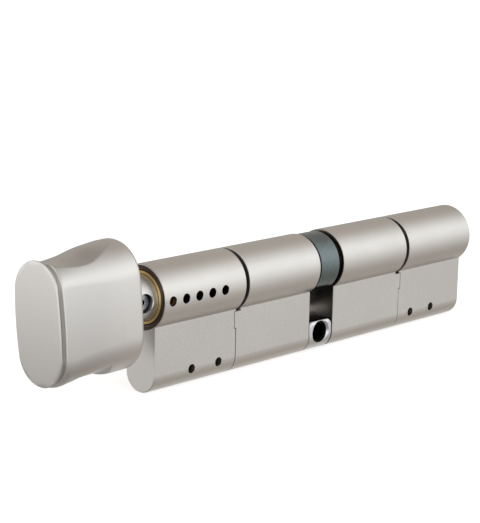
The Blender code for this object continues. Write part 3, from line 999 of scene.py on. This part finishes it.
def knob_outline(x, w, up, down, scoop_up, scoop_down, scoop_r, shrink=1.0, bulge=0.0):
    """The oval at x, leaning with the knob; shrink draws it in about its centre and
    bulge domes it forward."""
    w, up, down = w - 0.03, up - 0.05, down - 0.02
    top, bottom = up - w, w - down
    for _ in range(12):
        mid = (top + bottom) / 2
        top = up - FLANK_R + math.hypot(FLANK_R - w, top - mid)
        bottom = -down + FLANK_R - math.hypot(FLANK_R - w, bottom - mid)
    upper = math.atan2(top - mid, FLANK_R - w)
    lower = math.atan2(mid - bottom, FLANK_R - w)
    points = []

    def sweep(cy, cz, r, start, end, steps):
        for k in range(steps):
            a = start + (end - start) * k / steps
            points.append((cy + r * math.cos(a), cz + r * math.sin(a)))

    brow = crease(top, up - top, scoop_up, scoop_r)
    chin = crease(-bottom, down + bottom, scoop_down, SCOOP_R)
    sweep(w - FLANK_R, mid, FLANK_R, -lower, upper, 14)
    sweep(0, top, up - top, upper, brow, 18)
    sweep(0, top, up - top, brow, math.pi - brow, 36)
    sweep(0, top, up - top, math.pi - brow, math.pi - upper, 18)
    sweep(FLANK_R - w, mid, FLANK_R, math.pi - upper, math.pi + lower, 14)
    sweep(0, bottom, down + bottom, math.pi + lower, math.pi + chin, 18)
    sweep(0, bottom, down + bottom, math.pi + chin, 2 * math.pi - chin, 36)
    sweep(0, bottom, down + bottom, 2 * math.pi - chin, 2 * math.pi - lower, 18)
    centre = -0.4 - 0.025 * (KNOB_REAR - x)
    out = []
    for y, z in points:
        z = min(z, scoop_up - y * y / (2 * scoop_r))
        z = max(z, y * y / (2 * SCOOP_R) - scoop_down)
        y, z = y * shrink, z * shrink
        dome = bulge * (1 - (0.2 * (y / w) ** 2 + 0.85 * (z / up) ** 2))
        p = LEAN @ Vector((0, y, z))
        out.append((x - dome, p.y, p.z + centre))
    return out


tracks = [smooth_track([s[0] for s in STATIONS], [s[i] for s in STATIONS]) for i in range(1, 7)]
xs = []
for a, b in zip(STATIONS, STATIONS[1:]):
    count = 3 if b[0] - a[0] < 1.0 else 6
    xs += [a[0] + (b[0] - a[0]) * k / count for k in range(count)]
xs.append(STATIONS[-1][0])
DOME = STATIONS[0][0] - KNOB_FRONT
outlines = []
for k in range(1, 15):
    outlines.append(
        knob_outline(xs[0], *(t(xs[0]) for t in tracks), shrink=k / 15, bulge=DOME)
    )
for x in xs:
    fade = DOME_EDGE(x) if x < -98.0 else 0.0
    outlines.append(knob_outline(x, *(t(x) for t in tracks), bulge=DOME * fade))
knob_mesh = worked(
    loft("knob", outlines),
    cutters=[
        lathe(
            "socket",
            [(-90.0, 0), (-90.0, 6.25), (KNOB_REAR - 0.25, 6.25), (KNOB_REAR + 0.8, 7.3), (KNOB_REAR + 0.8, 0)],
            96,
        )
    ],
)
piece("knob_finish", knob_mesh, "thumb_turn", "knob", "knob_nickel", KNOB_SATIN, sharp=38)

HUB_R = span("knob_hub", 2)[1]
hub_mesh = worked(
    lathe(
        "hub",
        softened(
            [(-61.2, 3.4), (-61.2, HUB_R), (-89.5, HUB_R), (-89.5, 3.4)],
            [0.1, 0.3, 0.3, 0.1],
            4,
        ),
        112,
        loop=True,
    ),
    cutters=[drill("grub_hole", (-69, -HUB_R + 0.1, 0), (-69, -2, 0), 2.4, 0.18, 56)],
)
piece("knob_hub_finish", hub_mesh, "thumb_turn", "knob_hub", "steel", HUB_STEEL)

G0, G1 = span("hub_grub_screw", 1)
G0 += 0.75  # driven well home
hexagon = bmesh.new()
bmesh.ops.create_cone(
    hexagon, cap_ends=True, segments=6, radius1=0.75, radius2=0.75, depth=1.6
)
hexagon = close(
    hexagon,
    "hex",
    Matrix.Translation((-69, G0 + 0.1, 0)) @ Matrix.Rotation(math.radians(90), 4, "X"),
)
grub_mesh = worked(
    lathe(
        "grub",
        softened([(G0, 0), (G0, 2.2), (G1, 2.2), (G1, 0)], [0, 0.35, 0.2, 0], 4),
        56,
        matrix=Matrix.Translation((-69, 0, 0)) @ ALONG_Y,
    ),
    cutters=[
        hexagon,
        lathe(
            "lead",
            [(G0 - 0.5, 0), (G0 - 0.5, 1.25), (G0 + 0.2, 0.55), (G0 + 0.2, 0)],
            48,
            matrix=Matrix.Translation((-69, 0, 0)) @ ALONG_Y,
        ),
    ],
)
piece("hub_grub_screw_finish", grub_mesh, "thumb_turn", "hub_grub_screw", "steel", SCREW_STEEL)

piece(
    "knob_plug_finish",
    lathe(
        "knob_plug",
        softened(
            [
                (-30.2, 3.4),
                (-30.2, PLUG_R),
                (-33.7, PLUG_R),
                (-33.7, 5.7),
                (-34.9, 5.7),
                (-34.9, PLUG_R),
                (-40.6, PLUG_R),
                (-40.6, 5.0),
                (-59.0, 5.0),
                (-59.0, PLUG_R),
                (-64.8, PLUG_R),
                (-64.8, 6.05),
                (-60.9, 6.05),
                (-60.9, 3.4),
            ],
            [0.1, 0.2, 0.1, 0, 0, 0.1, 0.2, 0.3, 0.3, 0.1, 0.18, 0.14, 0.1, 0.1],
            4,
        ),
        128,
        loop=True,
    ),
    "thumb_turn",
    "knob_plug",
    "brass",
    BRASS,
)


def spring_clip(node, body):
    x0, x1 = span(node, 0)
    mesh = worked(
        lathe(
            node,
            softened([(x1, 7.2), (x0, 7.2), (x0, 5.95), (x1, 5.95)], 0.12, 4),
            112,
            loop=True,
        ),
        cutters=[slab("opening", (x0 - 1, -2.6, -9), (x1 + 1, 2.6, 0))],
    )
    piece(node + "_finish", mesh, body, node, "spring_steel", BLACK_STEEL)


spring_clip("knob_plug_clip", "thumb_turn")
spring_clip("key_plug_clip", "key_rotor")

piece(
    "knob_spindle_finish",
    worked(
        lathe(
            "spindle",
            softened([(-27.6, 0), (-27.6, 3.1), (-89.0, 3.1), (-89.0, 0)], [0, 0.3, 0.3, 0], 4),
            64,
        ),
        cutters=[
            slab("flat_upper", (-33, -4, 1.5), (-20, 4, 5)),
            slab("flat_lower", (-33, -4, -5), (-20, 4, -1.5)),
        ],
    ),
    "thumb_turn",
    "knob_spindle",
    "steel",
    STEEL,
)
piece(
    "knob_extension_finish",
    worked(
        lathe(
            "knob_extension",
            softened(
                [(0.9, 0), (0.9, 4.7), (-5.6, 4.7), (-5.6, PLUG_R), (-29.9, PLUG_R), (-29.9, 0)],
                [0, 0.2, 0.15, 0.25, 0.2, 0],
                4,
            ),
            112,
        ),
        cutters=[
            slab("spindle_slot", (-31, -3.6, -1.8), (-27.2, 3.6, 1.8)),
            lathe("spring_bore", [(-14, 0), (-14, 2.4), (2, 2.4), (2, 0)], 56),
            slab("coupler_slot", (-2.6, -1.7, -8), (2, 1.7, 8)),
        ],
    ),
    "thumb_turn",
    "knob_extension",
    "brass",
    BRASS,
)


def clutch_bar(node, body):
    x0, x1, s0, s1 = (
        (-0.2, 1.2, -5.6, 1.0) if node == "knob_coupler" else (3.75, 4.75, 1.5, 13.5)
    )
    mesh = worked(
        slab(node, (x0, -1.4, -6.3), (x1, 1.4, 6.3), 0.15),
        unions=[
            lathe(
                "stem",
                softened([(s0, 0), (s0, 1.35), (s1, 1.35), (s1, 0)], [0, 0.15, 0.15, 0], 4),
                48,
            )
        ],
    )
    piece(node + "_finish", mesh, body, node, "steel", STEEL)


clutch_bar("knob_coupler", "knob_clutch_bar")
clutch_bar("key_coupler", "key_clutch_bar")

# ------------------------------------------------------------------ key side
KEY_FACE = span("key_plug", 0)[1]
plug_cutters = [
    slab("extension_slot", (29, -9, -1.8), (32.6, 9, 1.8)),
]
keyway = bmesh.new()
half_w, half_h, run = 4.4, 1.35, KEY_FACE + 0.6
rings = []
for x, grow in ((36.5, 0.0), (KEY_FACE - 0.7, 0.0), (KEY_FACE, 0.45), (run, 0.85)):
    ring = []
    w, h = half_w + grow * 0.6, half_h + grow
    r = 0.35
    for cy, cz, start in (
        (w - r, h - r, 0),
        (r - w, h - r, 90),
        (r - w, r - h, 180),
        (w - r, r - h, 270),
    ):
        for k in range(5):
            a = math.radians(start + 90 * k / 4)
            ring.append(keyway.verts.new((x, cy + r * math.cos(a), cz + r * math.sin(a))))
    rings.append(ring)
bridge_rings(keyway, rings)
keyway.faces.new(rings[0])
keyway.faces.new(rings[-1])
plug_cutters.append(close(keyway, "keyway"))
for x in PIN_ROWS:
    plug_cutters.append(
        lathe(
            "pin_hole",
            [(-9, 0), (-9, 1.5), (0, 1.5), (0, 0)],
            40,
            matrix=Matrix.Translation((x, 0, 0)) @ ALONG_Z,
        )
    )
for node in ("anti_drill_pin_near", "anti_drill_pin_far"):
    y, z = middle(node, 1), middle(node, 2)
    plug_cutters.append(drill("guard_hole", (KEY_FACE + 0.01, y, z), (57, y, z), 0.9, 0.08, 32))
    x0, x1 = span(node, 0)
    piece(
        node + "_finish",
        lathe(
            node,
            softened([(x0, 0), (x0, 0.8), (x1, 0.8), (x1, 0)], [0, 0.1, 0.15, 0], 4),
            32,
            matrix=Matrix.Translation((0, y, z)),
        ),
        "key_rotor",
        node,
        "steel",
        STEEL,
    )
key_plug_mesh = worked(
    lathe(
        "key_plug",
        softened(
            [
                (KEY_FACE, 0.0),
                (KEY_FACE, PLUG_R),
                (34.9, PLUG_R),
                (34.9, 5.7),
                (33.7, 5.7),
                (33.7, PLUG_R),
                (30.2, PLUG_R),
                (30.2, 0.0),
            ],
            [0, 0.35, 0.1, 0, 0, 0.1, 0.2, 0],
            4,
        ),
        128,
    ),
    cutters=plug_cutters,
)
piece("key_plug_finish", key_plug_mesh, "key_rotor", "key_plug", "brass", BRASS)
piece(
    "key_extension_finish",
    worked(
        lathe(
            "key_extension",
            softened(
                [(29.9, 0), (29.9, PLUG_R), (5.6, PLUG_R), (5.6, 4.7), (1.5, 4.7), (1.5, 0)],
                [0, 0.2, 0.25, 0.15, 0.2, 0],
                4,
            ),
            112,
        ),
        unions=[slab("tongue", (28, -6.0, -1.5), (32.2, 6.0, 1.5), 0.12)],
        cutters=[
            lathe("coupler_bore", [(1, 0), (1, 1.6), (16, 1.6), (16, 0)], 48),
            slab("coupler_slot", (0, -1.7, -8), (5.2, 1.7, 8)),
        ],
    ),
    "key_rotor",
    "key_extension",
    "brass",
    BRASS,
)

for i in range(1, 6):
    name = f"key_pin_{i}"
    z0, z1 = span(name, 2)
    piece(
        name + "_finish",
        lathe(
            name,
            softened(
                [(z0, 0), (z0, 1.3), (z1 - 1.05, 1.3), (z1, 0.45), (z1, 0)],
                [0, 0.12, 0.25, 0.2, 0],
                4,
            ),
            48,
            matrix=Matrix.Translation((PIN_ROWS[i - 1], 0, 0)) @ ALONG_Z,
        ),
        f"key_pin_{i}",
        name,
        "brass",
        BRASS,
    )
    name = f"driver_pin_{i}"
    z0, z1 = span(name, 2)
    piece(
        name + "_finish",
        lathe(
            name,
            softened([(z0, 0), (z0, 1.3), (z1, 1.3), (z1, 0)], [0, 0.15, 0.12, 0], 4),
            48,
            matrix=Matrix.Translation((PIN_ROWS[i - 1], 0, 0)) @ ALONG_Z,
        ),
        f"driver_pin_{i}",
        name,
        "steel",
        STEEL,
    )


def wound(node, body, start, end, radius, wire, turns, around=10, per_turn=28):
    """A compression spring with closed ends, as round wire swept along its helix."""
    a, b = Vector(start), Vector(end)
    turn = (b - a).to_track_quat("Z", "Y")
    length = (b - a).length
    count = int(turns * per_turn)
    path = []
    for i in range(count + 1):
        t = i / count
        rise = wire + (length - 2 * wire) * t
        angle = 2 * math.pi * i / per_turn
        path.append(
            a + turn @ Vector((radius * math.cos(angle), radius * math.sin(angle), rise))
        )
    bm = bmesh.new()
    rings = []
    for i, p in enumerate(path):
        along = (path[min(i + 1, count)] - path[max(i - 1, 0)]).normalized()
        out = (p - (a + (b - a) * ((p - a).dot(b - a) / length**2))).normalized()
        side = along.cross(out).normalized()
        out = side.cross(along)
        rings.append(
            [
                bm.verts.new(
                    p
                    + out * wire * math.cos(2 * math.pi * k / around)
                    + side * wire * math.sin(2 * math.pi * k / around)
                )
                for k in range(around)
            ]
        )
    bridge_rings(bm, rings)
    bm.faces.new(rings[0])
    bm.faces.new(rings[-1])
    made = piece(node + "_finish", close(bm, node), body, node, "spring_steel", SPRING)
    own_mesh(made)
    return made


for i, x in enumerate(PIN_ROWS):
    foot = span(f"driver_pin_{i + 1}", 2)[0]
    wound(
        f"pin_spring_{i + 1}",
        "housing",
        (x, 0, -16.2),
        (x, 0, foot - 0.3),
        0.95,
        0.22,
        4,
    )
wound("clutch_spring", "thumb_turn", (-13.7, 0, 0), (-5.9, 0, 0), 1.6, 0.3, 5)

bpy.data.collections.remove(BENCH)

# ------------------------------------------------------------------ floor
lowest = min(v[2] for v in [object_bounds()[0]])
floor_mesh = bpy.data.meshes.new("floor")
bm = bmesh.new()
bmesh.ops.create_grid(bm, x_segments=8, y_segments=8, size=8.0)
bm.transform(Matrix.Translation((0, 0, lowest)))
bm.to_mesh(floor_mesh)
bm.free()
floor = bpy.data.objects.new("floor", floor_mesh)
bpy.context.scene.collection.objects.link(floor)
n = Nodes("pale_floor")
paper = n.noise(35.0, 2.0, 0.5)
n.set(
    Base_Color=n.mix(paper, (0.80, 0.80, 0.795), (0.82, 0.82, 0.815)),
    Roughness=0.9,
    Specular_IOR_Level=0.1,
    Emission_Color=(1.0, 1.0, 1.0),
    Emission_Strength=0.64,
)
floor_mesh.materials.append(n.material)
floor.visible_glossy = False
floor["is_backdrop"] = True

# ------------------------------------------------------------------ light
# A studio's surroundings as a soft gradient round the plug axis: white sweep behind,
# a large soft box in front above, darker room above and below.
world = bpy.data.worlds.new("studio")
bpy.context.scene.world = world
world.use_nodes = True
tree = world.node_tree
background = tree.nodes["Background"]
coord = tree.nodes.new("ShaderNodeTexCoord")
split = tree.nodes.new("ShaderNodeSeparateXYZ")
tree.links.new(coord.outputs["Generated"], split.inputs[0])


def wmath(operation, a, b=None, c=None):
    made = tree.nodes.new("ShaderNodeMath")
    made.operation = operation
    for i, v in enumerate((a, b, c)):
        if v is None:
            continue
        if isinstance(v, (int, float)):
            made.inputs[i].default_value = v
        else:
            tree.links.new(v, made.inputs[i])
    return made.outputs[0]


X, Y, Z = split.outputs
around = wmath(
    "ADD",
    wmath("DIVIDE", wmath("ARCTAN2", Z, wmath("MULTIPLY", Y, -1.0)), 2 * math.pi),
    0.5,
)
SKY = [
    # degrees round the axis from the front, up positive; colour
    (-180, (0.34, 0.32, 0.30)),
    (-160, (0.39, 0.37, 0.35)),
    (-135, (0.68, 0.66, 0.64)),
    (-108, (0.65, 0.62, 0.59)),
    (-85, (0.48, 0.445, 0.405)),
    (-65, (0.455, 0.415, 0.375)),
    (-45, (0.54, 0.51, 0.47)),
    (-22, (0.78, 0.76, 0.74)),
    (0, (1.05, 1.05, 1.05)),
    (25, (1.28, 1.30, 1.31)),
    (45, (1.24, 1.25, 1.26)),
    (65, (0.97, 0.96, 0.95)),
    (90, (0.60, 0.56, 0.52)),
    (115, (0.50, 0.45, 0.405)),
    (140, (0.50, 0.455, 0.415)),
    (165, (0.45, 0.43, 0.41)),
    (180, (0.34, 0.32, 0.30)),
]
LIFT = 1.4  # a ramp holds colours up to 1, so they're scaled down here and up after


def ramp(value, stops, interpolation="B_SPLINE"):
    """value in 0 to 1 through coloured stops, each (position, colour or grey)."""
    made = tree.nodes.new("ShaderNodeValToRGB")
    made.color_ramp.interpolation = interpolation
    elements = made.color_ramp.elements
    elements[0].position, elements[1].position = stops[0][0], stops[-1][0]
    for position, _ in stops[1:-1]:
        elements.new(position)
    for element, (_, colour) in zip(elements, stops):
        colour = colour if isinstance(colour, tuple) else (colour,) * 3
        element.color = (*[c / LIFT for c in colour], 1)
    tree.links.new(value, made.inputs["Fac"])
    return made.outputs["Color"]


front = ramp(around, [((d + 180) / 360, c) for d, c in SKY])
# Less light comes along the plug axis from the far end.
level_x = wmath("MULTIPLY_ADD", X, 0.5, 0.5)
tilt = ramp(
    level_x,
    [
        ((x + 1) / 2, v)
        for x, v in (
            (-1.0, 0.95),
            (0.1, 0.92),
            (0.45, 0.86),
            (0.58, 0.92),
            (0.64, 0.99),
            (0.69, 1.07),
            (0.73, 1.03),
            (0.80, 0.91),
            (0.90, 0.80),
            (1.0, 0.75),
        )
    ],
    "LINEAR",
)
# Off the thumb-turn's end the studio is a pale wall that darkens towards the floor.
wall = ramp(
    wmath("MULTIPLY_ADD", Z, 0.5, 0.5),
    [
        ((z + 1) / 2, c)
        for z, c in (
            (-1.0, (0.34, 0.32, 0.30)),
            (-0.45, (0.36, 0.34, 0.32)),
            (-0.33, (0.48, 0.47, 0.45)),
            (-0.2, (0.80, 0.79, 0.78)),
            (-0.06, (1.12, 1.12, 1.11)),
            (0.1, (1.16, 1.16, 1.16)),
            (0.4, (0.95, 0.95, 0.95)),
            (0.7, (0.62, 0.60, 0.58)),
            (1.0, (0.56, 0.53, 0.50)),
        )
    ],
    "EASE",
)
blend = wmath("MINIMUM", wmath("MAXIMUM", wmath("MULTIPLY_ADD", X, -2.0, 0.2), 0.0), 1.0)


def wmix(factor, a, b, kind="MIX"):
    made = tree.nodes.new("ShaderNodeMix")
    made.data_type, made.blend_type = "RGBA", kind
    if isinstance(factor, (int, float)):
        made.inputs["Factor"].default_value = factor
    else:
        tree.links.new(factor, made.inputs["Factor"])
    for socket, v in (("A", a), ("B", b)):
        at = [s for s in made.inputs if s.name == socket and s.type == "RGBA"][0]
        tree.links.new(v, at)
    return [s for s in made.outputs if s.type == "RGBA"][0]


sky = wmix(1.0, front, tilt, "MULTIPLY")
# Between the two, in front of the thumb-turn, the light falls off faster downwards.
fall = ramp(
    wmath("MULTIPLY_ADD", Z, 0.5, 0.5),
    [
        ((z + 1) / 2, v)
        for z, v in (
            (-1.0, 0.70),
            (-0.4, 0.70),
            (-0.22, 0.74),
            (-0.12, 0.82),
            (0.0, 0.89),
            (0.1, 0.99),
            (0.2, 1.14),
            (0.35, 1.09),
            (0.5, 0.98),
            (0.65, 0.82),
            (0.8, 0.72),
            (1.0, 0.70),
        )
    ],
    "EASE",
)
near = wmath("MULTIPLY", wmath("SUBTRACT", 0.68, X), 8.0)
near = wmath("MINIMUM", wmath("MAXIMUM", near, 0.0), 1.0)
unit = tree.nodes.new("ShaderNodeRGB")
unit.outputs[0].default_value = (1 / LIFT, 1 / LIFT, 1 / LIFT, 1)
fallen = tree.nodes.new("ShaderNodeVectorMath")
fallen.operation = "SCALE"
fallen.inputs["Scale"].default_value = LIFT
tree.links.new(wmix(1.0, sky, wmix(near, unit.outputs[0], fall), "MULTIPLY"), fallen.inputs[0])
sky = fallen.outputs[0]
# the product above carries LIFT twice, the wall once
wall_scaled = tree.nodes.new("ShaderNodeVectorMath")
wall_scaled.operation = "SCALE"
wall_scaled.inputs["Scale"].default_value = 1 / LIFT
tree.links.new(wall, wall_scaled.inputs[0])
tree.links.new(wmix(blend, sky, wall_scaled.outputs[0]), background.inputs["Color"])
STRENGTH = 1.05
background.inputs["Strength"].default_value = LIFT * LIFT * STRENGTH


def softbox(name, at, to, size, power, colour=(1, 1, 1)):
    light = bpy.data.lights.new(name, "AREA")
    light.shape = "RECTANGLE"
    light.size, light.size_y = size
    light.energy = power
    light.color = colour
    made = bpy.data.objects.new(name, light)
    made.location = at
    made.rotation_mode = "QUATERNION"
    made.rotation_quaternion = (Vector(to) - Vector(at)).to_track_quat("-Z", "Y")
    bpy.context.scene.collection.objects.link(made)
    return made


# ------------------------------------------------------------------ camera
YAW, PITCH, ROLL = (math.radians(v) for v in (48.1207, 11.7475, 1.3101))
ahead = Vector(
    (math.sin(YAW) * math.cos(PITCH), math.cos(YAW) * math.cos(PITCH), -math.sin(PITCH))
)
level = Vector((math.cos(YAW), -math.sin(YAW), 0))
upward = level.cross(ahead)
right = level * math.cos(ROLL) + upward * math.sin(ROLL)
up = upward * math.cos(ROLL) - level * math.sin(ROLL)
camera = bpy.data.objects.new("camera", bpy.data.cameras.new("camera"))
camera.matrix_world = Matrix.Translation((-0.364698, -0.301525, 0.116978)) @ Matrix(
    (right, up, -ahead)
).transposed().to_4x4()
camera.data.sensor_width = 36.0
camera.data.lens = 1752.59 * 36.0 / 523.0
camera.data.clip_start, camera.data.clip_end = 0.01, 50.0
bpy.context.scene.collection.objects.link(camera)
bpy.context.scene.camera = camera
bpy.context.scene.view_settings.view_transform = "Standard"
